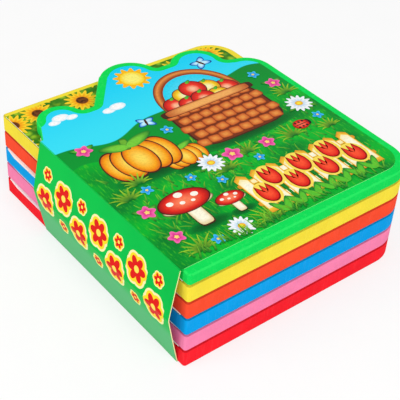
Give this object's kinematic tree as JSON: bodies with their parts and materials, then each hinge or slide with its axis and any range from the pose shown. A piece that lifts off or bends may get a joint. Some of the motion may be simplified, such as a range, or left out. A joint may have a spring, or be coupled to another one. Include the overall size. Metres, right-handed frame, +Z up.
{
  "type": "foam puzzle book",
  "caption": "Thick foam board book with a die-cut lobed cover and a jigsaw of loose foam pieces set into each hinged leaf.",
  "frame": {"origin": "middle of the underside of the closed book, on the surface it lies on", "axes": "+X from the spine to the fore edge, +Y from the tail to the head, +Z up through the leaves to the front cover"},
  "size_m": [0.1569, 0.1666, 0.0599],
  "materials": {
    "red_foam": "matte closed-cell foam",
    "pink_foam": "matte closed-cell foam",
    "blue_foam": "matte closed-cell foam",
    "orange_foam": "matte closed-cell foam",
    "yellow_foam": "matte closed-cell foam",
    "cover_foam": "matte closed-cell foam",
    "wrap_card": "laminated printed card",
    "leaf_card": "printed card"
  },
  "bodies": {
    "back_cover": {"back_cover_sheet": "wrap_card", "spine_card": "wrap_card", "red_foam_frame": "red_foam", "red_face_sheet": "leaf_card", "red_puzzle_piece_1": "red_foam", "red_puzzle_piece_2": "red_foam", "red_puzzle_piece_3": "red_foam", "red_puzzle_piece_4": "red_foam"},
    "pink_leaf": {"pink_foam_frame": "pink_foam", "pink_face_sheet": "leaf_card", "pink_under_sheet": "leaf_card", "pink_puzzle_piece_1": "pink_foam", "pink_puzzle_piece_2": "pink_foam", "pink_puzzle_piece_3": "pink_foam", "pink_puzzle_piece_4": "pink_foam"},
    "blue_leaf": {"blue_foam_frame": "blue_foam", "blue_face_sheet": "leaf_card", "blue_under_sheet": "leaf_card", "blue_puzzle_piece_1": "blue_foam", "blue_puzzle_piece_2": "blue_foam", "blue_puzzle_piece_3": "blue_foam", "blue_puzzle_piece_4": "blue_foam"},
    "orange_leaf": {"orange_foam_frame": "orange_foam", "orange_face_sheet": "leaf_card", "orange_under_sheet": "leaf_card", "orange_puzzle_piece_1": "orange_foam", "orange_puzzle_piece_2": "orange_foam", "orange_puzzle_piece_3": "orange_foam", "orange_puzzle_piece_4": "orange_foam"},
    "yellow_leaf": {"yellow_foam_frame": "yellow_foam", "yellow_face_sheet": "leaf_card", "yellow_under_sheet": "leaf_card", "yellow_puzzle_piece_1": "yellow_foam", "yellow_puzzle_piece_2": "yellow_foam", "yellow_puzzle_piece_3": "yellow_foam", "yellow_puzzle_piece_4": "yellow_foam"},
    "front_cover": {"front_cover_foam": "cover_foam", "front_cover_sheet": "wrap_card", "front_cover_lining": "leaf_card"}
  },
  "joints": [
    {"name": "pink_leaf_hinge", "type": "hinge", "parent": "back_cover", "child": "pink_leaf", "pos_m": [-0.076, 0, 0.0106], "axis": [0, -1, 0], "range_deg": [0, 36], "deforming": ["spine_card"]},
    {"name": "blue_leaf_hinge", "type": "hinge", "parent": "pink_leaf", "child": "blue_leaf", "pos_m": [-0.076, 0, 0.0212], "axis": [0, -1, 0], "range_deg": [0, 36], "deforming": ["spine_card"]},
    {"name": "orange_leaf_hinge", "type": "hinge", "parent": "blue_leaf", "child": "orange_leaf", "pos_m": [-0.076, 0, 0.0318], "axis": [0, -1, 0], "range_deg": [0, 36], "deforming": ["spine_card"]},
    {"name": "yellow_leaf_hinge", "type": "hinge", "parent": "orange_leaf", "child": "yellow_leaf", "pos_m": [-0.076, 0, 0.0424], "axis": [0, -1, 0], "range_deg": [0, 36], "deforming": ["spine_card"]},
    {"name": "front_cover_hinge", "type": "hinge", "parent": "yellow_leaf", "child": "front_cover", "pos_m": [-0.076, 0, 0.053], "axis": [0, -1, 0], "range_deg": [0, 180], "deforming": ["spine_card"]}
  ]
}
